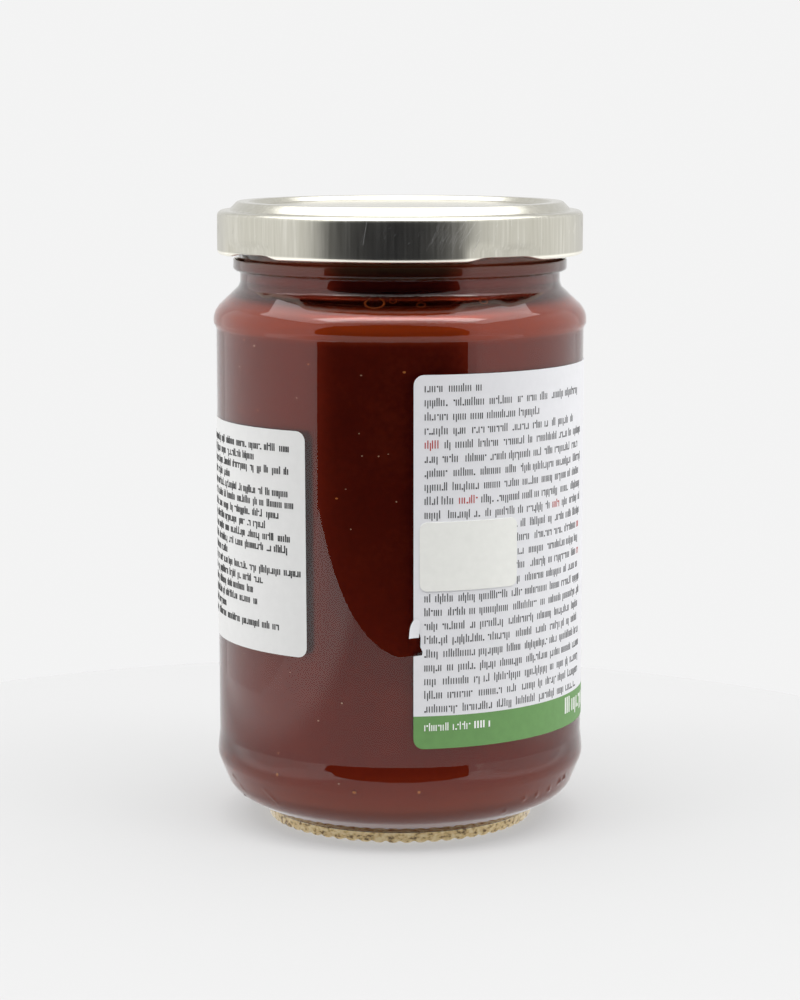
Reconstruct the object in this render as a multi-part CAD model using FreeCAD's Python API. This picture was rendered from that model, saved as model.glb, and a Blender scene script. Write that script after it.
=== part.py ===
"""Jar of tomato paste: a round glass jar with a twist-off lid, its contents and its paper labels.

Millimetres. The origin is the middle of the ring that the jar stands on, and +Z is up the jar's axis.
Angles are in degrees round that axis, counted from the front (-Y) towards the right (+X).
"""
import FreeCAD, Part
import math
import os

from FreeCAD import Base, Vector

Z_AXIS = Vector(0, 0, 1)
ORIGIN = Vector(0, 0, 0)
FULL_TURN = 360.0
ROUND = 0.5523                  # handle length that makes a cubic corner round

# ---------------------------------------------------------------- glass jar: outside
glass_height = 112.4            # standing ring to sealing rim, without the lid
neck_radius = 29.15             # between the shoulder and the transfer ring
shoulder_reach = 4.9            # how far the body stands out past the neck
panel_recess = 0.5              # label panel, below the bulge that guards its top edge
heel_ridge_proud = 0.3          # ridge that guards the panel's lower edge, proud of the panel

bearing_inset = 9.4             # from the heel ridge in to the standing ring's outer edge
bearing_width = 2.5
bearing_height = 2.0            # clear glass ring below the heel curve
bearing_round = 0.55
heel_angle = 57.9               # the heel's flank, from the vertical
heel_curve = 13.0
ridge_flat = 0.2
ridge_blend = 1.4               # height over which the ridge falls back to the panel
punt_rise = 2.6                 # dish in the underside, at its middle
punt_flat_radius = 8.0
punt_wall = 1.1                 # height of the step from the standing ring into the dish

bulge_blend = 1.7               # height over which the panel swells to the bulge
bulge_height = 3.0              # from there to the corner of the shoulder
shoulder_angle = 46.5           # the shoulder's flank, from the vertical
shoulder_curve = 3.6
neck_curve = 1.8

knurl_count = 60                # crescents pressed into the standing ring
knurl_depth = 0.35
knurl_radius = 0.9
knurl_margin = 0.8                # plain ring left inside the crescents, on which the jar stands

# ---------------------------------------------------------------- glass jar: inside
wall = 2.2
neck_wall = 2.05
base_thickness = 3.6            # at the middle
floor_rise = 1.6                # the inside floor's crown over its edge
floor_flat_radius = 9.0
inner_heel_curve = 9.8
inner_shoulder_curve = 3.0
inner_neck_curve = 3.5

# ---------------------------------------------------------------- glass jar: finish
finish_wall_proud = 0.3         # finish wall, past the neck
transfer_ring_proud = 1.25      # past the neck
transfer_ring_gap = 0.65        # below the lid's curl
transfer_ring_height = 2.3
neck_length = 2.6              # transfer ring to the corner where the neck meets the shoulder
rim_round_outside = 0.8
rim_round_inside = 0.6

cam_count = 4
cam_reach = 1.75                # past the finish wall
cam_root = 0.5                  # how deep a cam starts inside the finish wall
cam_thickness = 1.7             # at the wall
cam_tip_thickness = 0.9
cam_before_lug = 10.0           # angle that a cam runs on past its lug
cam_after_lug = 46.0            # angle from the lug to the cam's open end
cam_rise = 0.034                # climb per degree
cam_runout = 6.0                # angle over which each end fades into the wall
cam_sections = 9

# ---------------------------------------------------------------- contents
headspace = 10.0                # rim to the top of the paste

# ---------------------------------------------------------------- lid
sheet = 0.22
lid_gap = 1.83                  # cam tips to the inside of the skirt
lid_top_round = 1.15
seal_thickness = 0.98           # sealing compound between the rim and the lid's channel
seal_lap_inside = 0.35          # compound past the rim's inner edge
seal_lap_outside = 0.6
seal_lap_down = 0.35
panel_drop = 0.9                # lid's centre, below its raised ring
ring_inside_lap = 0.45          # raised ring's inner foot, inside the bore
ring_slope = 0.75               # width of the inner wall of the raised ring
ring_flat = 2.0
ring_outer_slope = 1.5
shoulder_drop = 1.55            # lid's outer shoulder, below the raised ring
skirt_drop = 8.3                # rim to the bottom of the curl
curl_size = 1.6                 # height and width of the rolled edge
curl_gap = 0.2                  # cut edge of the curl to the skirt
curl_band = 2.9                 # lowest part of the skirt, which the lugs bend
lug_first_angle = 35.0
lug_half_span = 7.0             # angle over which a lug is at its full reach
lug_blend = 8.0                 # angle over which the curl turns into a lug
lug_tip_gap = 0.85              # lug's tip to the finish wall
lug_lift = 0.55                 # lug's underside, over the bottom of the curl
lug_thickness = 1.0
lug_seat_gap = 0.05             # lug to the cam above it, at the tight end
lug_cut = 0.45                  # length that a lug's corners are rounded over
dent_depth = 0.75               # how far the skirt is pressed in above a lug
dent_height = 0.75
dent_below = 0.2                # from the top of the lug to the foot of the dent
dent_cut = 0.3                  # length that the dent's bends are rounded over
lug_sections = 7

# ---------------------------------------------------------------- labels
paper = 0.1
label_corner = 1.8
front_label_left = 4.0
label_gap = 9.5                 # bare glass between the large label's end and the side sticker
front_label_margin_below = 2.75
front_label_margin_above = 4.1
tear_height = 19.2              # middle of the tear, over the label's lower edge
tear_length = 5.2
tear_depth = 1.6

side_sticker_left = -99.3
side_sticker_span = 70.0
side_sticker_height = 40.0
side_sticker_lift = 1.75        # its middle, over the middle of the panel
side_sticker_tilt = 0.35

price_sticker_left = 5.8
price_sticker_span = 31.6
price_sticker_height = 12.1
price_sticker_lift = 1.2        # its middle, over the middle of the front label
price_sticker_corner = 1.3

# ---------------------------------------------------------------- sizes that follow
bulge_radius = neck_radius + shoulder_reach
panel_radius = bulge_radius - panel_recess
ridge_radius = panel_radius + heel_ridge_proud
bearing_outer = ridge_radius - bearing_inset
bearing_inner = bearing_outer - bearing_width
finish_radius = neck_radius + finish_wall_proud
bore_radius = neck_radius - neck_wall
inner_radius = panel_radius - wall

heel_corner_z = bearing_height + bearing_inset / math.tan(math.radians(heel_angle))
ridge_z = heel_corner_z + heel_curve * math.tan(math.radians(heel_angle / 2)) + ridge_flat
panel_bottom = ridge_z + ridge_blend
curl_bottom = glass_height - skirt_drop
transfer_ring_top = curl_bottom - transfer_ring_gap
neck_corner_z = transfer_ring_top - transfer_ring_height - neck_length
shoulder_corner_z = neck_corner_z - shoulder_reach / math.tan(math.radians(shoulder_angle))
bulge_bottom = shoulder_corner_z - bulge_height
panel_top = bulge_bottom - bulge_blend
floor_middle = punt_rise + base_thickness
floor_edge = floor_middle - floor_rise
paste_level = glass_height - headspace

cam_radius = finish_radius + cam_reach
skirt_inner = cam_radius + lid_gap
lid_radius = skirt_inner + sheet
curl_band_top = curl_bottom + curl_band
ring_top = glass_height + seal_thickness + sheet
lid_panel_top = ring_top - panel_drop
lid_shoulder_top = ring_top - shoulder_drop
lug_top = curl_bottom + lug_lift + lug_thickness
front_label_span = FULL_TURN + side_sticker_left - label_gap - front_label_left
lug_angles = [lug_first_angle + FULL_TURN / cam_count * index for index in range(cam_count)]


# ---------------------------------------------------------------- drawing helpers
def rounded_path(corners):
    """Runs and tangent arcs round a closed list of (x, y, radius) corners, each a list of 2 or 3 points."""
    path = []
    starts = []
    ends = []
    middles = []
    count = len(corners)
    for index, (x, y, radius) in enumerate(corners):
        before = corners[index - 1]
        after = corners[(index + 1) % count]
        here = Vector(x, y, 0)
        back = Vector(before[0], before[1], 0) - here
        ahead = Vector(after[0], after[1], 0) - here
        half_turn = (math.pi - back.getAngle(ahead)) / 2
        if radius <= 0 or half_turn < 1e-6:
            starts.append(here)
            ends.append(here)
            middles.append(None)
            continue
        tangent = min(radius * math.tan(half_turn), 0.49 * min(back.Length, ahead.Length))
        fitted = tangent / math.tan(half_turn)
        back.normalize()
        ahead.normalize()
        inward = back + ahead
        inward.normalize()
        starts.append(here + back * tangent)
        ends.append(here + ahead * tangent)
        middles.append(here + inward * (fitted / math.cos(half_turn) - fitted))
    for index in range(count):
        if middles[index] is not None:
            path.append([starts[index], middles[index], ends[index]])
        following = starts[(index + 1) % count]
        if (following - ends[index]).Length > 1e-6:
            path.append([ends[index], following])
    return path


def section_wire(corners):
    """Closed wire in the XZ plane through (radius, height, fillet) corners."""
    edges = []
    for points in rounded_path(corners):
        standing = [Vector(point.x, 0, point.y) for point in points]
        if len(standing) == 3:
            edges.append(Part.Arc(*standing).toShape())
        else:
            edges.append(Part.LineSegment(*standing).toShape())
    return Part.Wire(edges)


def turned(corners):
    """Solid of revolution of a closed section."""
    return Part.Face(section_wire(corners)).revolve(ORIGIN, Z_AXIS, FULL_TURN)


def placed(shape, angle):
    """The shape, made at +X, turned to an angle that is counted from the front."""
    moved = shape.copy()
    moved.rotate(ORIGIN, Z_AXIS, angle - 90.0)
    return moved


def offset_corners(corners, distance, cuts=False):
    """An open run of corners moved sideways by distance (positive: to the left of the way along it).

    The third number of a corner is a fillet's radius, or with cuts the length that its rounding takes up.
    """
    moved = []
    last = len(corners) - 1
    for index, (x, y, radius) in enumerate(corners):
        normals = []
        turn = 0.0
        for start, end in ((index - 1, index), (index, index + 1)):
            if start < 0 or end > last:
                continue
            along = Vector(corners[end][0] - corners[start][0], corners[end][1] - corners[start][1], 0)
            along.normalize()
            normals.append(Vector(-along.y, along.x, 0))
        if len(normals) == 2:
            turn = normals[0].cross(normals[1]).z
        middle = normals[0] + normals[-1]
        middle.normalize()
        reach = distance / middle.dot(normals[0])
        fillet = 0.0
        if radius > 0:
            shrink = distance * turn / (1 + normals[0].dot(normals[-1])) if cuts else math.copysign(distance, turn)
            fillet = max(radius - shrink, 0.05)
        moved.append((x + middle.x * reach, y + middle.y * reach, fillet))
    return moved


# ---------------------------------------------------------------- glass jar
def inner_flank_height(radius):
    """Height of the inside of the shoulder's flank, one wall inside the outer flank."""
    slope = math.radians(shoulder_angle)
    across = math.cos(slope) * (radius - bulge_radius)
    return shoulder_corner_z - (wall + across) / math.sin(slope)


def cavity_corners(top):
    """Section of the space inside the jar, up to a height in the neck."""
    return [
        (0, floor_middle, 0),
        (floor_flat_radius, floor_middle, 25.0),
        (inner_radius, floor_edge, inner_heel_curve),
        (inner_radius, inner_flank_height(inner_radius), inner_shoulder_curve),
        (bore_radius, inner_flank_height(bore_radius), inner_neck_curve),
        (bore_radius, top, 0),
        (0, top, 0),
    ]


def outer_corners():
    """Section of the jar's outside, closed along its axis."""
    ring_radius = neck_radius + transfer_ring_proud
    ring_high = transfer_ring_top
    ring_low = ring_high - transfer_ring_height
    ring_round = 0.48 * transfer_ring_height
    return [
        (0, punt_rise, 0),
        (punt_flat_radius, punt_rise, 25.0),
        (bearing_inner - 0.7, punt_wall, 0.6),
        (bearing_inner, 0, bearing_round),
        (bearing_outer, 0, bearing_round),
        (bearing_outer, bearing_height, 0.5),
        (ridge_radius, heel_corner_z, heel_curve),
        (ridge_radius, ridge_z, 0.8),
        (panel_radius, panel_bottom, 0.8),
        (panel_radius, panel_top, 1.2),
        (bulge_radius, bulge_bottom, 1.2),
        (bulge_radius, shoulder_corner_z, shoulder_curve),
        (neck_radius, neck_corner_z, neck_curve),
        (neck_radius, ring_low, 0.3),
        (ring_radius, ring_low, ring_round),
        (ring_radius, ring_high, ring_round),
        (finish_radius, ring_high, 0.3),
        (finish_radius, glass_height, rim_round_outside),
        (bore_radius, glass_height, rim_round_inside),
        (bore_radius, paste_level, 0),
        (0, paste_level, 0),
    ]


def cam_section(angle_from_lug, growth):
    """Section of a cam at an angle past its lug; growth is 1 along it and 0 where it fades out."""
    underside = lug_top + lug_seat_gap + cam_rise * (angle_from_lug + lug_half_span)
    middle = underside + cam_thickness / 2
    tip = finish_radius - 0.02 + (cam_reach + 0.02) * growth
    root = finish_radius - cam_root
    half_root = cam_thickness / 2 * (0.35 + 0.65 * growth)
    half_tip = cam_tip_thickness / 2 * (0.35 + 0.65 * growth)
    wire = Part.makePolygon([
        Vector(root, 0, middle - half_root),
        Vector(tip, 0, middle - half_root),
        Vector(tip, 0, middle - half_root + 2 * half_tip),
        Vector(root, 0, middle + half_root),
        Vector(root, 0, middle - half_root),
    ])
    wire.rotate(ORIGIN, Z_AXIS, angle_from_lug)
    return wire


def cam():
    """One sloping cam of the finish, with its lug at +X: it climbs towards the unscrewing side."""
    start = -lug_half_span - cam_before_lug
    span = cam_after_lug - start
    sections = []
    for index in range(cam_sections):
        angle = start + span * index / (cam_sections - 1)
        from_end = min(angle - start, start + span - angle)
        growth = min(1.0, from_end / cam_runout)
        sections.append(cam_section(angle, growth))
    return Part.makeLoft(sections, True, False)


def knurl():
    """One crescent of the standing ring, at +X."""
    start = bearing_inner + bearing_round + knurl_margin
    return Part.makeCylinder(knurl_radius, bearing_width, Vector(start, 0, knurl_depth - knurl_radius),
                             Vector(1, 0, 0))


def glass_jar():
    jar = turned(outer_corners())
    jar = jar.fuse([placed(cam(), angle) for angle in lug_angles])
    jar = jar.cut(turned(cavity_corners(glass_height + 1.0)))
    step = FULL_TURN / knurl_count
    return jar.cut([placed(knurl(), step * index) for index in range(knurl_count)])


def tomato_paste():
    return turned(cavity_corners(paste_level))


# ---------------------------------------------------------------- lid
def lid_top_corners():
    """Outer face of the lid's sheet, from its middle to the band that carries the curl."""
    foot = bore_radius - ring_inside_lap + sheet
    crest_in = foot + ring_slope
    crest_out = crest_in + ring_flat
    shoulder_in = crest_out + ring_outer_slope
    return [
        (0, lid_panel_top, 0),
        (foot, lid_panel_top, 0.35),
        (crest_in, ring_top, 0.4),
        (crest_out, ring_top, 0.5),
        (shoulder_in, lid_shoulder_top, 0.5),
        (lid_radius, lid_shoulder_top, lid_top_round),
        (lid_radius, curl_band_top, 0),
    ]


def lid_inside_corners():
    """Inner face of the lid's sheet, over the same run."""
    inside = offset_corners(lid_top_corners(), -sheet)
    inside[0] = (0, lid_panel_top - sheet, 0)
    inside[-1] = (skirt_inner, curl_band_top, 0)
    return inside


def edge_run(pressed):
    """Outer side of the lid's lower edge, as (radius, height, cut) corners: the curl at 0, a lug at 1."""
    tip = finish_radius + lug_tip_gap
    low = curl_bottom + lug_lift
    bend = lug_top + dent_below
    curl_top = curl_bottom + curl_size
    curl_cut = 0.49 * curl_size
    curl_inner = lid_radius - curl_size
    dented = lid_radius - dent_depth
    plain = [
        (lid_radius, curl_band_top, 0),
        (lid_radius, bend + dent_height, dent_cut),
        (lid_radius, bend, dent_cut),
        (lid_radius, curl_bottom, curl_cut),
        (curl_inner, curl_bottom, curl_cut),
        (curl_inner, curl_top, curl_cut),
        (skirt_inner - curl_gap, curl_top, 0),
    ]
    bent = [
        (lid_radius, curl_band_top, 0),
        (lid_radius, bend + dent_height, dent_cut),
        (dented, bend, dent_cut),
        (dented, low, lug_cut),
        (tip, low, lug_cut),
        (tip, lug_top, lug_cut),
        (dented - sheet - curl_gap, lug_top, 0),
    ]
    return [tuple(a + (b - a) * pressed for a, b in zip(first, second)) for first, second in zip(plain, bent)]


def edge_wire(pressed):
    """Closed section of the sheet along that run; every section has the same edges, so it can be lofted."""
    outside = edge_run(pressed)
    inside = offset_corners(outside, -sheet, cuts=True)
    inside[0] = (skirt_inner, curl_band_top, 0)
    corners = outside + inside[::-1]
    edges = []
    last_point = Vector(corners[0][0], 0, corners[0][1])
    for index, (x, y, cut) in enumerate(corners):
        here = Vector(x, 0, y)
        if cut <= 0:
            start = end = here
        else:
            before = corners[index - 1]
            after = corners[index + 1]
            back = Vector(before[0], 0, before[1]) - here
            ahead = Vector(after[0], 0, after[1]) - here
            start = here + back.normalize() * cut
            end = here + ahead.normalize() * cut
        if (start - last_point).Length > 1e-6:
            edges.append(Part.LineSegment(last_point, start).toShape())
        if cut > 0:
            curve = Part.BezierCurve()
            curve.setPoles([start, start + (here - start) * ROUND, end + (here - end) * ROUND, end])
            edges.append(curve.toShape())
        last_point = end
    edges.append(Part.LineSegment(last_point, Vector(corners[0][0], 0, corners[0][1])).toShape())
    return Part.Wire(edges)


def edge_sector(start, end):
    """Plain rolled edge between two angles."""
    face = Part.Face(edge_wire(0.0))
    face.rotate(ORIGIN, Z_AXIS, start)
    return face.revolve(ORIGIN, Z_AXIS, end - start)


def lug():
    """Rolled edge, bent into a lug and out again, centred on +X."""
    half = lug_half_span + lug_blend
    sections = []
    for side in (-1, 1):
        steps = range(lug_sections)
        for index in (steps if side < 0 else reversed(steps)):
            part = index / (lug_sections - 1)
            pressed = part * part * (3 - 2 * part)
            wire = edge_wire(pressed)
            wire.rotate(ORIGIN, Z_AXIS, side * (half - lug_blend * part))
            sections.append(wire)
    return Part.makeLoft(sections, True, False)


def lid():
    shell = turned(lid_top_corners() + lid_inside_corners()[::-1])
    pieces = []
    half = lug_half_span + lug_blend
    gap = FULL_TURN / cam_count
    for angle in lug_angles:
        pieces.append(placed(lug(), angle))
        pieces.append(placed(edge_sector(half, gap - half), angle))
    return shell.fuse(pieces, 0.001)


def lid_seal():
    """Sealing compound, pressed round the glass rim and into the lid's channel."""
    inside = turned(lid_inside_corners() + [(0, curl_band_top, 0)])
    inner = bore_radius - seal_lap_inside
    outer = finish_radius + seal_lap_outside
    low = glass_height - seal_lap_down
    corner = 0.4 * seal_lap_down
    ring = turned([(inner, low, corner), (outer, low, corner), (outer, ring_top, 0), (inner, ring_top, 0)])
    return ring.common(inside).cut(turned(outer_corners()))


# ---------------------------------------------------------------- labels
def wrapped(corners, radius, middle_angle, thickness):
    """Paper laid round the jar: (across, up, fillet) corners in the flat, across counted from its middle."""
    surface = Part.Cylinder()
    surface.Radius = radius

    def on_surface(point):
        return Base.Vector2d(math.pi + point.x / radius, point.y)

    edges = []
    for points in rounded_path(corners):
        if len(points) == 3:
            points = Part.Arc(*points).toShape().discretize(7)
            curve = Part.Geom2d.BSplineCurve2d()
            curve.interpolate([on_surface(point) for point in points])
        else:
            curve = Part.Geom2d.Line2dSegment(on_surface(points[0]), on_surface(points[1]))
        edges.append(curve.toShape(surface))
    wire = Part.Wire(Part.__sortEdges__(edges))
    face = Part.Face(surface, wire)
    face.validate()
    sheet_solid = face.makeOffsetShape(thickness, 1e-4, fill=True)
    sheet_solid.rotate(ORIGIN, Z_AXIS, middle_angle - 90.0 - 180.0)
    return sheet_solid


def rectangle(width, low, high, corner):
    half = width / 2
    return [(-half, low, corner), (half, low, corner), (half, high, corner), (-half, high, corner)]


def arc_length(radius, angle):
    return radius * math.radians(angle)


front_label_low = panel_bottom + front_label_margin_below
front_label_high = panel_top - front_label_margin_above


def front_label():
    """Large label, wrapped most of the way round, torn a little at its left edge."""
    width = arc_length(panel_radius, front_label_span)
    left = -width / 2
    corners = rectangle(width, front_label_low, front_label_high, label_corner)
    middle = front_label_low + tear_height
    top = middle + tear_length / 2
    bottom = middle - tear_length / 2
    tear = [
        (left, top, 0),
        (left + 0.45 * tear_depth, top - 0.16 * tear_length, 0.2),
        (left + 0.7 * tear_depth, top - 0.45 * tear_length, 0.2),
        (left + tear_depth, bottom + 0.22 * tear_length, 0.3),
        (left + 0.8 * tear_depth, bottom, 0.3),
        (left, bottom - 0.06 * tear_length, 0),
    ]
    middle_angle = front_label_left + front_label_span / 2
    return wrapped(corners + tear, panel_radius, middle_angle, paper)


def side_sticker():
    width = arc_length(panel_radius, side_sticker_span)
    half = side_sticker_height / 2
    lean = math.radians(side_sticker_tilt)
    middle = (panel_bottom + panel_top) / 2 + side_sticker_lift
    corners = []
    for x, y, radius in rectangle(width, -half, half, label_corner):
        leaned_x = x * math.cos(lean) - y * math.sin(lean)
        leaned_y = x * math.sin(lean) + y * math.cos(lean)
        corners.append((leaned_x, middle + leaned_y, radius))
    return wrapped(corners, panel_radius, side_sticker_left + side_sticker_span / 2, paper)


def price_sticker():
    radius = panel_radius + paper
    width = arc_length(radius, price_sticker_span)
    middle = (front_label_low + front_label_high) / 2 + price_sticker_lift
    half = price_sticker_height / 2
    corners = rectangle(width, middle - half, middle + half, price_sticker_corner)
    return wrapped(corners, radius, price_sticker_left + price_sticker_span / 2, paper)


# ---------------------------------------------------------------- output
NODES = {
    "glass_jar": glass_jar,
    "tomato_paste": tomato_paste,
    "lid": lid,
    "lid_seal": lid_seal,
    "label_main": front_label,
    "label_side": side_sticker,
    "label_price": price_sticker,
}

os.makedirs("parts", exist_ok=True)
for name, make in NODES.items():
    shape = make()
    solids = shape.Solids
    solid = solids[0] if len(solids) == 1 else Part.makeCompound(solids)
    box = solid.BoundBox
    print(f"{name}: {len(solids)} solid, valid {solid.isValid()}, {solid.Volume / 1000:.2f} cm3, "
          f"z {box.ZMin:.2f} to {box.ZMax:.2f}, width {box.XLength:.2f}")
    solid.exportStep(f"parts/{name}.step")
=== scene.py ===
# %% [markdown]
# # A jar of tomato paste
# A squat glass jar of tomato paste with a twist-off lid of brushed tinplate and three paper labels. The
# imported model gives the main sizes. This script adds what the eye sees: clear glass with its mould marks,
# the paste pressed against it, the sheet metal of the lid, and paper with rows of small print.

import math
import random

import bmesh
import bpy
from mathutils import Matrix, Vector


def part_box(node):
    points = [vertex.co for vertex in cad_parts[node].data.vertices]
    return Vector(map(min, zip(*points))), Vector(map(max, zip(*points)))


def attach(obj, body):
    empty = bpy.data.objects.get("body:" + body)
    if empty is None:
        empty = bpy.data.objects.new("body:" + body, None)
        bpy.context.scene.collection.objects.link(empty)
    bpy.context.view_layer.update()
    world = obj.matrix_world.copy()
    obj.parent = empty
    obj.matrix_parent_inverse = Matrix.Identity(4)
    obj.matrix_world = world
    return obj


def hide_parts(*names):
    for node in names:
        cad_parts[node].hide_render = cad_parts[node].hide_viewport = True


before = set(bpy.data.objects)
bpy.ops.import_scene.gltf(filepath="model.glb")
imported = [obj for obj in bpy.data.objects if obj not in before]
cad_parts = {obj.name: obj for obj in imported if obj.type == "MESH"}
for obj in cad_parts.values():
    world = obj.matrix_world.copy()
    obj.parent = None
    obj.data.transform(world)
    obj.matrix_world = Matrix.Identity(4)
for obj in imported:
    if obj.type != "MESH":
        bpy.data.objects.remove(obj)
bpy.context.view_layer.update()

# %% [markdown]
# All the making below is in millimetres, and each piece is scaled to metres as it is finished. Sizes could
# be typed in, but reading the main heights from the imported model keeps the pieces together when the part
# changes.

# %% Read the main sizes
MM = 0.001


def box_corners(node):
    """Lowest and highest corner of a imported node, in millimetres."""
    low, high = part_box(node)
    return Vector(low) / MM, Vector(high) / MM


jar_high = box_corners("glass_jar")[1]
glass_top = jar_high.z
body_radius = jar_high.x
paste_top = box_corners("tomato_paste")[1].z
lid_low, lid_high = box_corners("lid")
lid_bottom, lid_top, lid_radius = lid_low.z, lid_high.z, lid_high.x
print(f"glass {glass_top:.1f} high, {2 * body_radius:.1f} wide; lid {2 * lid_radius:.1f} wide, "
      f"{lid_bottom:.1f} to {lid_top:.1f}; paste up to {paste_top:.1f}")

# %% [markdown]
# ## Camera
# A small jar looks natural through a long lens from a little above its lid: a short lens would swell the
# front of the lid. The camera looks slightly down, nothing is shifted, and depth of field is off.

# %% Camera
camera_data = bpy.data.cameras.new("camera")
camera_data.lens = 100.8
camera_data.sensor_width = 36.0
camera_data.clip_start = 0.01
camera = bpy.data.objects.new("camera", camera_data)
camera.location = (0.0, -0.5116, 0.13306)
camera.rotation_euler = (math.radians(90.0 - 8.28), 0.0, 0.0)
bpy.context.collection.objects.link(camera)
bpy.context.scene.camera = camera
print(f"camera {-camera.location.y:.3f} m in front, lens {camera_data.lens} mm")

# %% [markdown]
# ## Materials
# Every finish is a Principled shader with a few nodes in front of it. Nodes can be set one by one, which
# takes many lines; two small helpers keep those short. One makes the material with its fixed values, the
# other adds a node, sets it, and joins it up.

# %% Helpers for a material and its nodes
def make_material(name, **values):
    """A material whose fixed values sit on the shader's own sockets: Base_Color stands for Base Color."""
    material = bpy.data.materials.new(name)
    material.use_nodes = True
    shader = material.node_tree.nodes["Principled BSDF"]
    for socket, value in values.items():
        shader.inputs[socket.replace("_", " ")].default_value = value
    return material, material.node_tree, shader


def add_node(tree, kind, settings=None, **inputs):
    """A node with its settings; an input is a value or the output socket that feeds it."""
    node = tree.nodes.new("ShaderNode" + kind)
    for name, value in (settings or {}).items():
        setattr(node, name, value)
    for name, value in inputs.items():
        socket = node.inputs[int(name[1:]) if name[0] == "_" else name.replace("_", " ")]
        if isinstance(value, bpy.types.NodeSocket):
            tree.links.new(value, socket)
        else:
            socket.default_value = value
    return node.outputs


def show_nodes(material):
    """Says how many nodes a finish took."""
    print(f"{material.name}: {len(material.node_tree.nodes)} nodes")


print("helpers for materials are ready")

# %% [markdown]
# The same few patterns come back in most finishes: noise that is fixed to the piece, a colour ramp, a value
# that rises gently with height, and a little bump. Object coordinates are used for all of them, because
# they stay put when the piece is seen from another side.

# %% Helpers for patterns
def object_coordinates(tree, stretch):
    """Object coordinates, stretched along each axis."""
    place = add_node(tree, "TexCoord")["Object"]
    return add_node(tree, "Mapping", Vector=place, Scale=stretch)["Vector"]


def noise(tree, stretch, scale, detail):
    """Noise fixed to the piece, between 0 and 1."""
    return add_node(tree, "TexNoise", Vector=object_coordinates(tree, stretch), Scale=scale, Detail=detail)[0]


def height_of(tree):
    """Height over the table, in metres."""
    return add_node(tree, "SeparateXYZ", Vector=object_coordinates(tree, (1, 1, 1)))["Z"]


def ramp(tree, factor, *stops):
    """A colour ramp from (position, colour) stops."""
    node = tree.nodes.new("ShaderNodeValToRGB")
    tree.links.new(factor, node.inputs["Fac"])
    elements = node.color_ramp.elements
    while len(elements) < len(stops):
        elements.new(0.5)
    for element, (position, colour) in zip(elements, stops):
        element.position = position
        element.color = (*colour, 1.0)
    return node.outputs["Color"]


def eased(tree, value, start, end, low=0.0, high=1.0):
    """Goes gently from low, where the value is at its start, to high, where it is at its end."""
    return add_node(tree, "MapRange", {"interpolation_type": "SMOOTHSTEP"}, Value=value, From_Min=start,
                    From_Max=end, To_Min=low, To_Max=high)[0]


def combine(tree, operation, *values):
    """One sum on up to three values."""
    sockets = {f"_{place}": value for place, value in enumerate(values)}
    return add_node(tree, "Math", {"operation": operation}, **sockets)[0]


def mix_colours(tree, factor, first, second):
    """The first colour where the factor is 0, the second where it is 1."""
    return add_node(tree, "Mix", {"data_type": "RGBA"}, Factor=factor, _6=first, _7=second)[2]


def add_bump(tree, shader, height, strength, distance):
    """Small relief, by light alone."""
    bump = add_node(tree, "Bump", Strength=strength, Distance=distance, Height=height)
    tree.links.new(bump[0], shader.inputs["Normal"])


print("helpers for patterns are ready")

# %% [markdown]
# ## Turned pieces
# A jar, its contents and its lid are all round, so each starts as half of its section: a few corner points,
# rounded with a vertex bevel and then spun about the upright axis. A sculpted cylinder would need many more
# loops to be as true.

# %% Helpers for a section
def draw_section(mesh, corners):
    """A run of edges through (radius, height, fillet, steps) corners, with the corners rounded."""
    verts = [mesh.verts.new((radius, 0.0, height)) for radius, height, _, _ in corners]
    for first, second in zip(verts, verts[1:]):
        mesh.edges.new((first, second))
    cuts = []
    for index, (_, _, fillet, steps) in enumerate(corners):
        if fillet <= 0:
            continue
        back = verts[index - 1].co - verts[index].co
        ahead = verts[index + 1].co - verts[index].co
        half_turn = (math.pi - back.angle(ahead)) / 2
        cut = min(fillet * math.tan(half_turn), 0.49 * min(back.length, ahead.length))
        cuts.append((verts[index], cut, steps))
    for vert, cut, steps in cuts:
        bmesh.ops.bevel(mesh, geom=[vert], offset=cut, offset_type="OFFSET", affect="VERTICES",
                        segments=steps, profile=0.5, material=-1)
    print("section drawn:", len(mesh.verts), "points")


def divide_runs(mesh, longest, above=-1.0):
    """Long straight runs above a height get points between, so that they can be moved or shaded."""
    for edge in [edge for edge in mesh.edges if min(vert.co.z for vert in edge.verts) > above]:
        cuts = int(edge.calc_length() / longest)
        if cuts > 0:
            bmesh.ops.subdivide_edges(mesh, edges=[edge], cuts=cuts)

# %% [markdown]
# One full spin of a fine section is slow, because every step looks at the whole mesh. So one sector is
# spun, and that sector is then copied round. The doubled points along the seams and on the axis are merged,
# and the normals are made to point outwards.

# %% Helper for the spin
def spin_section(mesh, steps, sectors=12):
    """The section, spun round one sector, the sector then copied round, and the poles and seams closed."""
    axis = {"cent": (0, 0, 0), "axis": (0, 0, 1), "dvec": (0, 0, 0)}
    share = math.tau / sectors
    bmesh.ops.spin(mesh, geom=mesh.verts[:] + mesh.edges[:], angle=share, steps=steps // sectors,
                   use_merge=False, use_duplicate=False, **axis)
    bmesh.ops.spin(mesh, geom=mesh.verts[:] + mesh.edges[:] + mesh.faces[:], angle=math.tau - share,
                   steps=sectors - 1, use_merge=False, use_duplicate=True, **axis)
    bmesh.ops.remove_doubles(mesh, verts=mesh.verts, dist=0.002)
    bmesh.ops.recalc_face_normals(mesh, faces=mesh.faces)
    loose = [edge for edge in mesh.edges if len(edge.link_faces) != 2]
    print("spun:", len(mesh.faces), "faces;", len(loose), "edges that don't join two faces")

# %% [markdown]
# Every piece ends the same way: scaled to metres with its place in its mesh, smooth but for its sharp
# edges, given its finish, and tied to the jar's one body. A smaller helper gives a point's radius and
# angle, because most of the shaping below goes by how far round the jar a point is.

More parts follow.
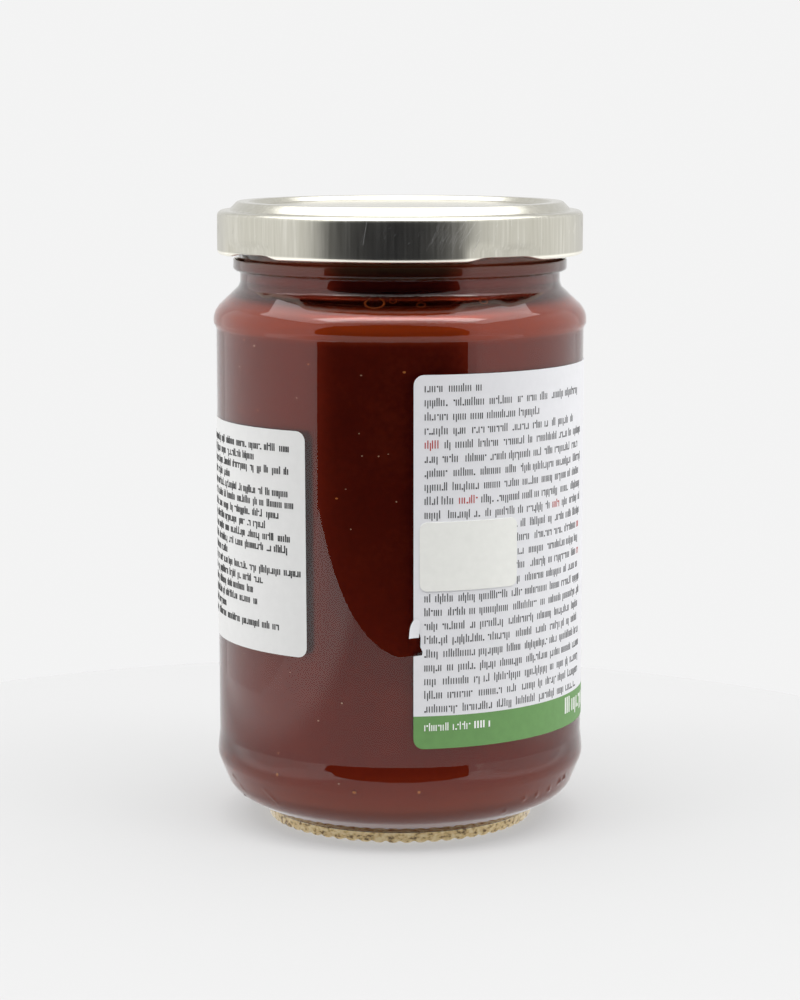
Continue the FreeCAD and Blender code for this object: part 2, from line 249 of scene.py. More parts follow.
# %% Helpers to finish a piece
def finish_piece(mesh, name, materials, stands_for=(), sharp=50.0):
    """The piece in metres, riding on the jar."""
    bmesh.ops.scale(mesh, vec=(MM, MM, MM), verts=mesh.verts)
    data = bpy.data.meshes.new(name)
    mesh.to_mesh(data)
    mesh.free()
    data.shade_smooth()
    data.set_sharp_from_angle(angle=math.radians(sharp))
    for material in materials:
        data.materials.append(material)
    piece = bpy.data.objects.new(name, data)
    bpy.context.collection.objects.link(piece)
    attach(piece, "root")
    if stands_for:
        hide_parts(*stands_for)
    print(f"{name}: {len(data.vertices)} points, {len(data.polygons)} faces")


def polar(point):
    """Radius and angle of a point, the angle counted from the front towards the right."""
    return math.hypot(point.x, point.y), math.degrees(math.atan2(point.x, -point.y))


def turned(degrees):
    """A turn about the jar's axis, from the front towards the right."""
    return Matrix.Rotation(math.radians(degrees), 4, "Z")


def apart(angle, other):
    """Degrees from one angle round to another, between -180 and 180."""
    return (angle - other + 180.0) % 360.0 - 180.0

# %% [markdown]
# ## Glass jar
# The jar is blown in a mould: a straight label panel between two guarding ridges, a round shoulder, a short
# neck with a transfer ring, and a finish with four sloping cams that the lid's lugs catch. It could be a
# thin shell, but light bends through real walls, so outside and inside are one closed section.

# %% Glass: radii
neck_inset, glass_wall = 4.9, 2.2
neck = body_radius - neck_inset
panel = body_radius - 0.5
ridge = panel + 0.3
bore = neck - 2.05
inner = panel - glass_wall
finish = neck + 0.3
bearing_out = ridge - 9.4
bearing_in = bearing_out - 2.5
ring = neck + 1.25
print(f"radii: neck {neck:.2f}, panel {panel:.2f}, inside {inner:.2f}, standing ring {bearing_in:.2f} "
      f"to {bearing_out:.2f}")

# %% [markdown]
# The heights hang from the lid downwards, because the lid's lower edge is what fixes the finish, the
# transfer ring and the neck under it. The shoulder falls away from the neck at a set lean, and only the
# heel, the foot of the label panel and the inside floor are counted up from the table.

# %% Glass: heights
ring_top = lid_bottom - 0.65
ring_bottom = ring_top - 2.3
neck_foot = ring_bottom - 2.6
shoulder_lean = math.radians(46.5)
shoulder_z = neck_foot - neck_inset / math.tan(shoulder_lean)
heel_z = 5.7
ridge_z = 11.98
panel_foot = 16.1
panel_head = shoulder_z - 3.15
floor_middle = 6.2
floor_edge = 4.6
heel_round = 9.8
print(f"heights: panel {panel_foot:.1f} to {panel_head:.1f}, shoulder {shoulder_z:.1f}, "
      f"neck {neck_foot:.1f}, transfer ring {ring_bottom:.1f} to {ring_top:.1f}")

# %% [markdown]
# The heel turns in two bends, a wider one low down and a tighter one at the ridge. From there to the label
# panel the wall leans in by about five degrees, which sets what that stretch mirrors. Each corner below is
# (radius, height, fillet, steps); the outside is in four parts, from the middle of the base to the mouth,
# and the inside comes back down to the middle of the floor.

# %% Glass: the section
def inner_flank(radius):
    """Height of the inside of the shoulder's flank."""
    across = math.cos(shoulder_lean) * (radius - body_radius)
    return shoulder_z - (glass_wall + across) / math.sin(shoulder_lean)


base = [(0, 2.6, 0, 0), (8.0, 2.6, 25.0, 4), (bearing_in - 0.7, 1.1, 0.6, 3), (bearing_in, 0, 0.55, 4)]
heel = [(bearing_out, 0, 0.55, 5), (bearing_out, 2.0, 0.5, 4), (ridge - 2.44, heel_z, 5.0, 9),
        (ridge + 0.10, ridge_z, 3.8, 8), (ridge - 0.126, panel_foot - 1.6, 60.0, 4)]
body = [(panel, panel_foot, 0.5, 3), (panel, panel_head, 0.8, 3), (body_radius, panel_head + 0.95, 0.8, 3),
        (body_radius, shoulder_z - 0.9, 3.1, 7), (body_radius - 0.65, shoulder_z + 0.62, 3.9, 8)]
mouth = [(neck, neck_foot, 1.8, 8), (neck, ring_bottom, 0.3, 3), (ring, ring_bottom, 1.1, 6),
         (ring, ring_top, 1.1, 6), (finish, ring_top, 0.3, 3), (finish, glass_top, 0.8, 5),
         (bore, glass_top, 0.6, 5)]
inside = [(bore, inner_flank(bore), 3.5, 5), (inner, inner_flank(inner), 3.0, 5),
          (inner, floor_edge, heel_round, 9), (9.0, floor_middle, 25.0, 4), (0, floor_middle, 0, 0)]
glass = bmesh.new()
draw_section(glass, base + heel + body + mouth + inside)

# %% [markdown]
# A spun surface can only be moved where it has points. The finish, where the cams will rise, and the heel's
# straight run, where the mould marks will, are divided finely; the plain walls stay as they are.

# %% Glass: the spin
divide_runs(glass, 1.6, above=ring_top - 0.5)
heel_run = [edge for edge in glass.edges if edge.calc_length() > 2.0
            and all(heel_z < vert.co.z < ridge_z and vert.co.x > bearing_out for vert in edge.verts)]
bmesh.ops.subdivide_edges(glass, edges=heel_run, cuts=9)
spin_section(glass, 600)

# %% [markdown]
# The standing ring is knurled with pressed crescents, which keep the hot jar off the conveyor. They could
# be cut with a boolean, but the spun ring has ten steps to each crescent, so its low points are simply
# lifted.

# %% Glass: knurl
knurl_count = 60
knurl_depth = 0.35
knurl_height = 0.9
lifted = 0
for vert in glass.verts:
    radius, angle = polar(vert.co)
    if vert.co.z < knurl_height and bearing_in + 1.2 < radius < bearing_out + 0.6:
        hollow = 0.5 + 0.5 * math.cos(math.radians(angle * knurl_count))
        fade = max(0.0, 1.0 - vert.co.z / knurl_height)
        vert.co.z += knurl_depth * hollow ** 2 * fade
        lifted += 1
print(knurl_count, "crescents from", lifted, "points")

# %% [markdown]
# A blown jar carries small raised marks of its mould round the heel: six round beads on one side and two
# strokes on the other, each stroke a row of five small beads that run together. Separate balls would leave
# a seam inside the glass, so points near each mark move out along their normals, and the wall stays closed.

# %% Glass: mould marks
def off_mark(point, aim, height):
    """How far a point is from the level line out to a mark, and from the mark's height."""
    along = point.dot(aim)
    behind = 99 if along < 0 else 0
    return (point - aim * along).length + abs(point.z - height) + behind


mark_zone, mark_rise = (4.0, 13.0), 0.42
marks = [(36.6, 8.15, 0.62), (42.9, 8.15, 0.62), (49.3, 8.35, 0.62), (55.6, 8.7, 0.64), (62.0, 9.4, 0.75),
         (65.0, 9.9, 0.75)]
for start, top in ((-47.5, 9.3), (-67.0, 9.9)):
    marks += [(start + 1.1 * step, top - 0.5 * step, 0.42) for step in range(5)]
glass.normal_update()
heel_verts = [vert for vert in glass.verts
              if mark_zone[0] < vert.co.z < mark_zone[1] and polar(vert.co)[0] > bearing_out + 2
              and vert.normal.x * vert.co.x + vert.normal.y * vert.co.y > 0]
lifts = {}
for angle, height, size in marks:
    aim = Vector((math.sin(math.radians(angle)), -math.cos(math.radians(angle)), 0))
    middle = min(heel_verts, key=lambda vert: off_mark(vert.co, aim, height)).co.copy()
    for vert in heel_verts:
        near = 1.0 - (vert.co - middle).length_squared / size ** 2
        if near > 0:
            lifts[vert] = max(lifts.get(vert, 0.0), mark_rise * size * near ** 1.5)
for vert, lift in lifts.items():
    vert.co += vert.normal * lift
print(len(marks), "marks raised from", len(lifts), "points")

# %% [markdown]
# The four cams are on the finish, under the lid. Each climbs slowly one way round, so that a lug rides down
# it as the lid is turned shut. They are raised the same way, this time straight out from the axis.

# %% Glass: cams
lug_angles = [35.0, 125.0, -145.0, -55.0]
cam_reach, cam_half_length, cam_half_height, cam_slope = 1.4, 22.0, 1.3, 0.045
cam_middle = ring_top + 3.2
for vert in glass.verts:
    radius, angle = polar(vert.co)
    if not (ring_top + 0.4 < vert.co.z < glass_top - 0.9 and radius > neck - 0.3):
        continue
    for lug in lug_angles:
        away = apart(angle, lug)
        centre = cam_middle + cam_slope * away
        near = 1.0 - (away / cam_half_length) ** 4 - ((vert.co.z - centre) / cam_half_height) ** 2
        if near > 0:
            grow = 1.0 + cam_reach * min(1.0, 1.6 * near) / radius
            vert.co.x *= grow
            vert.co.y *= grow
print(len(lug_angles), "cams raised by up to", cam_reach, "mm")

# %% [markdown]
# Clear glass is a Principled shader with full transmission. A faint absorption gives thick edges their
# olive tint, which a tinted surface could not: it would tint thin walls as much. A very gentle bump is the
# waviness of blown glass.

# %% Glass: clear finish
glass_finish, tree, shader = make_material("glass_clear", Base_Color=(1.0, 1.0, 1.0, 1.0), Roughness=0.0,
                                           IOR=1.5, Transmission_Weight=1.0, Specular_IOR_Level=0.95)
add_bump(tree, shader, noise(tree, (22, 22, 9), 1.0, 1.0), 0.12, 0.002)
absorb = add_node(tree, "VolumeAbsorption", Color=(0.80, 0.84, 0.58, 1.0), Density=110.0)
tree.links.new(absorb[0], tree.nodes["Material Output"].inputs["Volume"])
show_nodes(glass_finish)

# %% [markdown]
# The knurled foot scatters light from hundreds of small facets and gathers the light that runs down the
# glass, so it looks cream and speckled instead of clear. So its faces get a second finish, nearly opaque,
# with a fine crackle in colour and relief. Its cream colour is a painted glow that stands in for that
# gathered light.

# %% Glass: knurled foot
foot_finish, tree, shader = make_material("glass_knurled", Roughness=0.16, IOR=1.5, Transmission_Weight=0.08)
crackle = noise(tree, (1, 1, 1.6), 900.0, 3.0)
# painted glow: the cream tones stand in for light gathered in the glass foot
tone = ramp(tree, crackle, (0.34, (0.20, 0.12, 0.04)), (0.46, (0.82, 0.60, 0.27)), (0.64, (1.0, 0.83, 0.49)))
tree.links.new(tone, shader.inputs["Base Color"])
add_bump(tree, shader, crackle, 0.6, 0.0002)
show_nodes(foot_finish)
foot_top, foot_inside = 1.95, bearing_in + 0.9
for face in glass.faces:
    middle = face.calc_center_median()
    if middle.z < foot_top and polar(middle)[0] > foot_inside:
        face.material_index = 1
finish_piece(glass, "jar_glass", [glass_finish, foot_finish], stands_for=["glass_jar"])

# %% [markdown]
# ## Tomato paste
# The paste fills the jar to its level, and above it a thin film clings to the neck where it was filled. It
# reaches just into the wall, so no air gap shows between them. It could be the filled inside of the glass;
# a turned body of its own is better, because the film and the round edge of its surface come in one
# section.

# %% Paste: the body
grip = 0.15
wall = inner + grip
neck_wall = bore + grip
paste = bmesh.new()
draw_section(paste, [
    (0, floor_middle - grip, 0, 0), (9.0, floor_middle - grip, 25.0, 4),
    (wall, floor_edge - grip, heel_round, 16), (wall, inner_flank(wall) + grip, 3.0, 10),
    (neck_wall, inner_flank(neck_wall) + grip, 3.5, 10),
    (neck_wall, glass_top - 3.8, 0, 0), (bore - 0.3, glass_top - 4.2, 0, 0), (bore - 0.35, paste_top, 1.2, 5),
    (0, paste_top, 0, 0)])
divide_runs(paste, 3.0)
spin_section(paste, 360)

# %% [markdown]
# Paste is a dense dark red with fine grain and slow clouds. The sheen is tinted red, because light enters
# the paste a little before it comes back. A flat colour would look like plastic, so two sizes of noise, one
# fine and one broad, drive a ramp of three close reds.

# %% Paste: grain
paste_finish, tree, shader = make_material("paste_tomato", Roughness=0.22, Specular_IOR_Level=1.0,
                                           Specular_Tint=(1.0, 0.10, 0.04, 1.0))
grain = noise(tree, (1, 1, 1), 900.0, 3.0)
cloud = noise(tree, (1, 1, 1), 60.0, 2.0)
colour = ramp(tree, combine(tree, "MULTIPLY_ADD", grain, 0.5, cloud), (0.45, (0.082, 0.0068, 0.0030)),
              (0.75, (0.098, 0.0084, 0.0036)), (0.95, (0.120, 0.0125, 0.0050)))
show_nodes(paste_finish)

# %% [markdown]
# The colour also goes with the height, and this is mostly painted light. Light gets in through the round
# shoulder and the heel, so a painted glow makes the paste lighter there; under the neck it is in the shade,
# which is painted as a darker red; and the film above it is thin and pale. Subsurface scattering would give
# some of this, but slowly and with noise, so each zone is mixed into the colour by height in metres.

# %% Paste: colour by height
height = height_of(tree)
# painted glow: a lighter red at the shoulder and the heel, where light gets into the paste
shoulder_glow = combine(tree, "MULTIPLY", eased(tree, height, 0.0895, 0.0925),
                        eased(tree, height, 0.0940, 0.0965, 1.0, 0.0))
heel_glow = eased(tree, height, 0.0155, 0.0075)
glow = combine(tree, "MAXIMUM", shoulder_glow, heel_glow)
colour = mix_colours(tree, glow, colour, (0.30, 0.036, 0.0065, 1.0))
# painted shade: a darker red under the neck, where the lid shades the paste
shade = combine(tree, "MULTIPLY", eased(tree, height, 0.0948, 0.0962, 0.0, 0.95),
                eased(tree, height, 0.0985, 0.1002, 1.0, 0.25))
colour = mix_colours(tree, shade, colour, (0.012, 0.0020, 0.0016, 1.0))
film = eased(tree, height, 0.1012, 0.1030)
colour = mix_colours(tree, film, colour, (0.105, 0.062, 0.036, 1.0))
tree.links.new(colour, shader.inputs["Base Color"])
show_nodes(paste_finish)
finish_piece(paste, "paste_body", [paste_finish], stands_for=["tomato_paste"])

# %% [markdown]
# ## Lid
# The twist-off lid is one sheet of tinplate 0.22 mm thick, pressed into a raised ring, a shoulder and a
# skirt whose lower edge is rolled into a curl. It is drawn as its outer skin alone, without thickness,
# because an open skin can be pushed about freely; the sheet gets its thickness last.

# %% Lid: the section
sheet = 0.22
foot = bore - 0.45 + sheet
crest_in = foot + 0.75
crest_out = crest_in + 2.0
shoulder_in = crest_out + 1.5
shoulder_top = lid_top - 1.55
curl = 1.6
curl_in = lid_radius - curl
lid = bmesh.new()
draw_section(lid, [
    (0, lid_top - 0.9, 0, 0), (foot, lid_top - 0.9, 0.35, 4), (crest_in, lid_top, 0.4, 5),
    (crest_out, lid_top, 0.5, 5), (shoulder_in, shoulder_top, 0.5, 5), (lid_radius, shoulder_top, 1.15, 8),
    (lid_radius, lid_bottom, 0.78, 7), (curl_in, lid_bottom, 0.78, 7), (curl_in, lid_bottom + curl, 0.78, 6),
    (lid_radius - sheet - 0.2, lid_bottom + curl, 0, 0)])
divide_runs(lid, 1.2)
spin_section(lid, 360)

# %% [markdown]
# At four places the curl is bent in and up to a lug, which catches under a cam of the glass. The bend is
# strongest in the middle of each lug and dies away to its sides and upwards. Moving the points of the spun
# edge gives a lug that grows out of the curl, as a separate block would not.

# %% Lid: lugs
lug_reach, lug_blend, lug_top = 15.0, 8.0, 2.9
lug_press, lug_tuck, lug_lift = 0.75, 0.45, 0.55
bent = 0
for vert in lid.verts:
    radius, angle = polar(vert.co)
    away = min(abs(apart(angle, lug)) for lug in lug_angles)
    part = min(1.0, max(0.0, (lug_reach - away) / lug_blend))
    pressed = part * part * (3 - 2 * part)
    if pressed == 0 or vert.co.z > lid_bottom + lug_top or radius < lid_radius - 2.0:
        continue
    up = vert.co.z - lid_bottom
    inward = lug_press * min(1.0, max(0.0, (lug_top - up) / 0.9))
    tuck = max(0.0, (lid_radius - radius) / curl)
    reach = (radius - pressed * (inward + lug_tuck * tuck)) / radius
    vert.co.x *= reach
    vert.co.y *= reach
    vert.co.z += pressed * lug_lift * max(0.0, 1.0 - up / curl)
    bent += 1
print(len(lug_angles), "lugs bent from", bent, "points")

# %% [markdown]
# Solidify needs to know which side is out. Recalculating the normals of an open skin can leave them either
# way, so the highest face is looked at, and the whole skin is turned round if that face points down.

# %% Lid: thickness
bmesh.ops.recalc_face_normals(lid, faces=lid.faces)
if max(lid.faces, key=lambda face: face.calc_center_median().z).normal.z < 0:
    bmesh.ops.reverse_faces(lid, faces=lid.faces)
bmesh.ops.solidify(lid, geom=lid.faces[:], thickness=sheet)
print("sheet of", sheet, "mm:", len(lid.faces), "faces")

# %% [markdown]
# Tinplate has fine streaks: upright ones on the skirt, where the sheet was drawn down, and straight ones
# across the flat top, from the rolling. Noise stretched along one axis makes both, and the way a face
# points chooses between them. The same streaks set colour, gloss and a trace of relief, so that they agree.
# The lower edge of the curl is painted paler, a painted highlight for the bright floor that it mirrors.

# %% Lid: brushed tinplate
tin_finish, tree, shader = make_material("tinplate_brushed", Metallic=1.0, Roughness=0.36)
fine = noise(tree, (1, 1, 0.035), 2200.0, 3.0)
broad = noise(tree, (1, 1, 0.12), 420.0, 3.0)
skirt_grain = combine(tree, "MULTIPLY_ADD", fine, 0.8, combine(tree, "MULTIPLY_ADD", broad, 0.35, 0.22))
top_grain = combine(tree, "MULTIPLY_ADD", noise(tree, (0.02, 1, 1), 1500.0, 3.0), 0.55, 0.56)
facing_up = add_node(tree, "SeparateXYZ", Vector=add_node(tree, "TexCoord")["Normal"])["Z"]
upright = add_node(tree, "MapRange", Value=combine(tree, "ABSOLUTE", facing_up), From_Min=0.3, From_Max=0.8,
                   To_Min=1.0, To_Max=0.0)[0]
streaks = add_node(tree, "Mix", Factor=upright, _2=top_grain, _3=skirt_grain)[0]
tone = ramp(tree, streaks, (0.55, (0.445, 0.43, 0.365)), (0.85, (0.52, 0.505, 0.44)),
            (1.15, (0.60, 0.585, 0.52)))
# painted highlight: the curl's lower edge turns pale, for the bright floor that it mirrors
curl_painted_highlight = eased(tree, height_of(tree), (lid_bottom + 0.95) * MM, (lid_bottom + 0.55) * MM)
tree.links.new(mix_colours(tree, curl_painted_highlight, tone, (1.0, 0.97, 0.86, 1.0)), shader.inputs["Base Color"])
skirt_rough = add_node(tree, "MapRange", Value=streaks, From_Min=0.5, From_Max=1.2, To_Min=0.27,
                       To_Max=0.37)[0]
tree.links.new(add_node(tree, "Mix", Factor=upright, _2=0.20, _3=skirt_rough)[0], shader.inputs["Roughness"])
add_bump(tree, shader, streaks, 0.30, 0.00002)
show_nodes(tin_finish)
finish_piece(lid, "lid_shell", [tin_finish], stands_for=["lid"], sharp=60.0)

# %% [markdown]
# ## Labels
# Each label is drawn flat, as paper is cut: a few corner points, rounded with a vertex bevel, sliced into
# narrow strips so that it can bend, thickened, and laid round the glass. Across is measured along the
# paper. A strip copied from the jar's wall would fit at once, but its corners and its tear would be harder
# to draw.

# %% Helpers for cutting paper
paper = 0.1
glue = 0.01


def rectangle(length, low, high):
    """The (across, up, rounded) corners of a plain label."""
    return [(0, low, 1), (length, low, 1), (length, high, 1), (0, high, 1)]


def cut_paper(outline, corner, lift, strip=1.0):
    """A flat sheet from (across, up, rounded) points, cut into upright strips."""
    mesh = bmesh.new()
    verts = [mesh.verts.new((across, lift, up)) for across, up, _ in outline]
    mesh.faces.new(verts)
    for vert, (_, _, rounded) in zip(verts, outline):
        if rounded:
            bmesh.ops.bevel(mesh, geom=[vert], offset=corner * rounded, offset_type="OFFSET",
                            affect="VERTICES", segments=6, profile=0.5, material=-1)
    low = min(vert.co.x for vert in mesh.verts)
    high = max(vert.co.x for vert in mesh.verts)
    for index in range(1, int((high - low) / strip)):
        bmesh.ops.bisect_plane(mesh, geom=mesh.verts[:] + mesh.edges[:] + mesh.faces[:], dist=0.0001,
                               plane_co=(low + strip * index, 0, 0), plane_no=(1, 0, 0))
    print(f"sheet cut {high - low:.1f} long, in {len(mesh.faces)} strips")
    return mesh

# %% [markdown]
# A flat sheet becomes a label in two more steps. The first gives it an edge all round, off the glass. The
# second wraps it: across becomes an angle, and how far a point is off the glass is kept, so print can be
# drawn flat too and then laid on in the same way. The last helper turns a drawing a little about its
# middle.

# %% Helpers for laying paper
def thicken(mesh, depth):
    """Gives flat faces an edge all round, off the glass."""
    sides = bmesh.ops.extrude_face_region(mesh, geom=mesh.faces[:], use_keep_orig=True)
    moved = [item for item in sides["geom"] if isinstance(item, bmesh.types.BMVert)]
    bmesh.ops.translate(mesh, verts=moved, vec=(0, depth, 0))
    bmesh.ops.recalc_face_normals(mesh, faces=mesh.faces)


def laid_round(mesh, start):
    """Bends a flat drawing (across, off the glass, up) round the jar, from a starting angle."""
    for vert in mesh.verts:
        across, lift, up = vert.co
        angle = math.radians(start) + across / panel
        radius = panel + lift
        vert.co = (radius * math.sin(angle), -radius * math.cos(angle), up)


def lean_drawing(mesh, across, up, angle):
    """Turns a flat drawing anticlockwise about a point, as seen from outside."""
    bmesh.ops.rotate(mesh, cent=(across, 0, up), matrix=Matrix.Rotation(-angle, 3, "Y"), verts=mesh.verts)


print(f"paper {paper} mm thick, wrapped {panel:.2f} mm from the axis")

# %% [markdown]
# Paper and ink are the same finish in other colours: a nearly flat tone with a faint mottle of fibres, a
# little relief, and a soft sheen. A scanned paper texture would do as well, but noise needs no file.

# %% Paper and ink
def paper_material(name, colour, fleck):
    """Uncoated paper or ink, mottled down to a fleck of its colour."""
    material, tree, shader = make_material(name, Roughness=0.55, Specular_IOR_Level=0.35)
    mottle = noise(tree, (1, 1, 1), 700.0, 4.0)
    dark = tuple(value * fleck for value in colour)
    tree.links.new(ramp(tree, mottle, (0.3, dark), (0.7, colour)), shader.inputs["Base Color"])
    add_bump(tree, shader, mottle, 0.15, 0.00005)
    show_nodes(material)
    return material


white_paper = paper_material("paper_white", (0.75, 0.75, 0.772), 0.97)
green_paper = paper_material("paper_green_band", (0.145, 0.31, 0.10), 0.92)
sticker_white = paper_material("paper_sticker", (0.73, 0.73, 0.72), 0.97)
cream_paper = paper_material("paper_cream", (0.825, 0.828, 0.787), 0.96)
ink_black = paper_material("ink_black", (0.03, 0.03, 0.03), 0.8)
ink_red = paper_material("ink_red", (0.45, 0.04, 0.03), 0.9)
ink_white = paper_material("ink_white", (0.9, 0.9, 0.88), 0.97)

# %% [markdown]
# The large label runs most of the way round. Its left edge has been torn, which is eight plain points in
# its outline, and a green band runs along its foot. The band could be a second piece, but one slice across
# the sheet is enough to part the two colours.

# %% The large label
main_start = 4.0
main_length = panel * math.radians(246.7)
main_low, main_high = (corner.z for corner in box_corners("label_main"))
tear_middle = main_low + 19.2
tear_top, tear_foot = tear_middle + 2.6, tear_middle - 2.6
band_top = main_low + 5.85
tear = [(0, tear_top, 0), (0.9, tear_top - 0.8, 0), (1.25, tear_top - 2.0, 0), (1.2, tear_foot + 1.6, 0),
        (1.6, tear_foot + 0.7, 0), (1.5, tear_foot + 0.1, 0), (0.5, tear_foot, 0), (0, tear_foot - 0.1, 0)]
main = cut_paper(rectangle(main_length, main_low, main_high) + tear, 1.8, glue)
bmesh.ops.bisect_plane(main, geom=main.verts[:] + main.edges[:] + main.faces[:], dist=0.0001,
                       plane_co=(0, 0, band_top), plane_no=(0, 0, 1))
for face in main.faces:
    if face.calc_center_median().z < band_top:
        face.material_index = 1
thicken(main, paper - glue)
laid_round(main, main_start)
finish_piece(main, "label_main_paper", [white_paper, green_paper], stands_for=["label_main"])

# %% [markdown]
# A white sticker sits on the glass at the left, a third of a degree out of true, as a hand puts it on. A
# small cream sticker lies on the large label, so it is lifted by that label's thickness. Both are made as
# the large label is, which keeps their edges and their corners alike.

# %% The two stickers
side_start, side_length, side_half = -99.3, panel * math.radians(70.0), 20
side_middle = sum(corner.z for corner in box_corners("label_side")) / 2
side_lean = math.radians(0.35)
side = cut_paper(rectangle(side_length, -side_half, side_half), 1.8, glue)
lean_drawing(side, side_length / 2, 0, side_lean)
bmesh.ops.translate(side, verts=side.verts, vec=(0, 0, side_middle))
thicken(side, paper - glue)
laid_round(side, side_start)
finish_piece(side, "label_side_paper", [sticker_white], stands_for=["label_side"])

price_start, price_length = 5.8, panel * math.radians(31.6)
price_low, price_high = (corner.z for corner in box_corners("label_price"))
price = cut_paper(rectangle(price_length, price_low, price_high), 1.3, paper + 0.005)
thicken(price, paper)
laid_round(price, price_start)
finish_piece(price, "label_price_paper", [cream_paper], stands_for=["label_price"])

# %% [markdown]
# ## Print
# The small print is stood for by rows of short upright ticks in word-long groups. They spell nothing, but
# have the weight and rhythm of printed rows. Each tick is a tiny plate that stands just proud of the paper.
# A seeded random draw picks the kinds and the gaps, so every run prints the same rows.

# %% Helpers for print
dice = random.Random(7)


def tick(mesh, across, up, width, height):
    """One flat tick on the paper, placed by its lower left corner."""
    place = (Matrix.Translation((across + width / 2, paper, up + height / 2))
             @ Matrix.Rotation(math.pi / 2, 4, "X") @ Matrix.Diagonal((width, height, 1.0, 1.0)))
    bmesh.ops.create_grid(mesh, x_segments=1, y_segments=1, size=0.5, matrix=place)


def word(mesh, across, up, length, size, weight):
    """Ticks from one place to another: most of one height, a few taller, a few only a dash."""
    while length > weight:
        kind = dice.random()
        if kind < 0.62:
            tick(mesh, across, up, weight, size)
        elif kind < 0.78:
            tick(mesh, across, up, weight, 1.35 * size)
        elif kind < 0.86:
            tick(mesh, across, up - 0.35 * size, weight, 1.3 * size)
        elif kind < 0.93:
            tick(mesh, across, up, 1.6 * weight, 0.25 * size)
        else:
            tick(mesh, across, up + 0.75 * size, 1.6 * weight, 0.25 * size)
        step = 0.40 * size * (0.85 + 0.3 * dice.random())
        across += step
        length -= step


def row(mesh, start, end, up, size, weight, space=1.0):
    """A row of words: first their places, then their ticks."""
    spans = []
    while start < end - 1.0:
        length = min(end - start, size * dice.choice((1.2, 2.2, 3.0, 3.8, 4.6, 5.6)))
        spans.append((start, length))
        start += length + space * dice.uniform(0.6, 1.1)
    for across, length in spans:
        word(mesh, across, up, length, size, weight)


def finish_print(mesh, start, name, ink):
    """Gives a flat drawing of ticks the thickness of ink and lays it round the jar."""
    thicken(mesh, 0.03)
    laid_round(mesh, start)
    finish_piece(mesh, name, [ink])


print("helpers for print are ready")

# %% [markdown]
# The large label has a block of 24 close rows by its torn edge, with a few red words among them, and a
# second such block at its far end. Two plain groups of white ticks stand on the green band. Each colour of
# ink is one mesh, because thousands of separate ticks would be slow to handle.

# %% Print on the large label
row_count, row_pitch = 24, 2.443
row_left, row_right = 1.9, 41.5
size, weight, red_weight = 1.06, 0.165, 0.18
block_top = main_high - 2.95
black, red, white = bmesh.new(), bmesh.new(), bmesh.new()
ends = {0: 13.0, 1: 39.5, 2: 25.0, 3: 37.0, 23: 39.5}
red_words = {4: (1.9, 4.6), 8: (8.0, 11.4), 9: (29.0, 31.5), 11: (39.6, 41.0), 13: (39.6, 41.0)}
for index in range(row_count):
    up = block_top - row_pitch * index
    start = row_left
    if index in red_words:
        first, last = red_words[index]
        word(red, first, up, last - first, size, red_weight)
        if first > 3:
            row(black, row_left, first - 0.7, up, size, weight)
        start = last + 0.8
    row(black, start, ends.get(index, row_right), up, size, weight)
far_side = main_length - 43.0
for index in range(row_count):
    end = far_side + dice.choice((41.0, 41.0, 41.0, 33.0))
    row(black, far_side, end, block_top - row_pitch * index, size, weight)
for across, length, tall, heavy in ((1.9, 4.4, 1.05, 0.18), (7.0, 3.4, 1.05, 0.18), (11.0, 2.3, 1.3, 0.3),
                                    (13.8, 0.7, 1.1, 0.3)):
    word(white, across, main_low + 3.2, length, tall, heavy)
row(white, 34.2, 62.0, main_low + 2.3, 2.2, 0.42, space=0.8)
finish_print(black, main_start, "print_black", ink_black)
finish_print(red, main_start, "print_red", ink_red)
finish_print(white, main_start, "print_white", ink_white)

# %% [markdown]
# The side sticker has bolder rows, closer together, and they lean with the sticker. Only where each row
# ends is listed one by one, because the ragged right edge is what the eye knows the block by.

# %% Print on the side sticker
bold = bmesh.new()
side_top, side_pitch = side_middle + 16.2, 1.99
side_ends = [37.8, 29.6, 37.9, 20.1, 37.5, 39.0, 35.7, 32.2, 37.8, 37.1, 19.3, 40.0, 31.2, 28.5, 29.6, 17.9,
             35.3]
for index, end in enumerate(side_ends):
    row(bold, 2.0, end, side_top - side_pitch * index, 1.0, 0.26, space=0.8)
lean_drawing(bold, side_length / 2, side_middle, side_lean)
finish_print(bold, side_start, "print_side", ink_black)

# %% [markdown]
# ## Small things
# At the tear a scrap of the label stands up as a curled flap. It could be cut from the label's own sheet,
# but a small grid of its own is easier to curl: it bows off the glass at its left and at its foot, its top
# edge is round, and it leans a little to the right.

# %% The torn flap
flap_width, flap_height = 1.75, 3.3
flap = bmesh.new()
bmesh.ops.create_grid(flap, x_segments=8, y_segments=12, size=0.5)
for vert in flap.verts:
    side_part, up_part = vert.co.x + 0.5, vert.co.y + 0.5
    tall = flap_height * (1.0 - 0.85 * (side_part - 0.6) ** 2)
    tip = 0.55 * (1 - side_part) * max(0.0, up_part - 0.5) ** 2
    across = -0.85 + flap_width * side_part + 0.2 * up_part + tip
    off_glass = paper + 0.03 + 0.8 * (1 - side_part) ** 2 + 0.25 * (1 - up_part)
    vert.co = (across, off_glass, tear_top - 1.9 + tall * up_part)
bmesh.ops.recalc_face_normals(flap, faces=flap.faces)
bmesh.ops.solidify(flap, geom=flap.faces[:], thickness=0.06)
laid_round(flap, main_start)
finish_piece(flap, "label_flap", [white_paper])

# %% [markdown]
# Seeds and grains show as pale and orange specks where the paste meets the glass. Painted spots would look
# flat, so each is a small rounded grain, pressed thin against the wall. Those at the front are listed as
# (angle, height, size, kind), and the rest are spread by the random draw.

# %% Specks in the paste
round_top = floor_edge + heel_round


def wall_radius(up):
    """Radius of the paste's wall at a height: straight, and rounded in at the heel."""
    below = min(1.0, max(0.0, round_top - up) / heel_round)
    return wall - heel_round * (1 - math.cos(math.asin(below)))


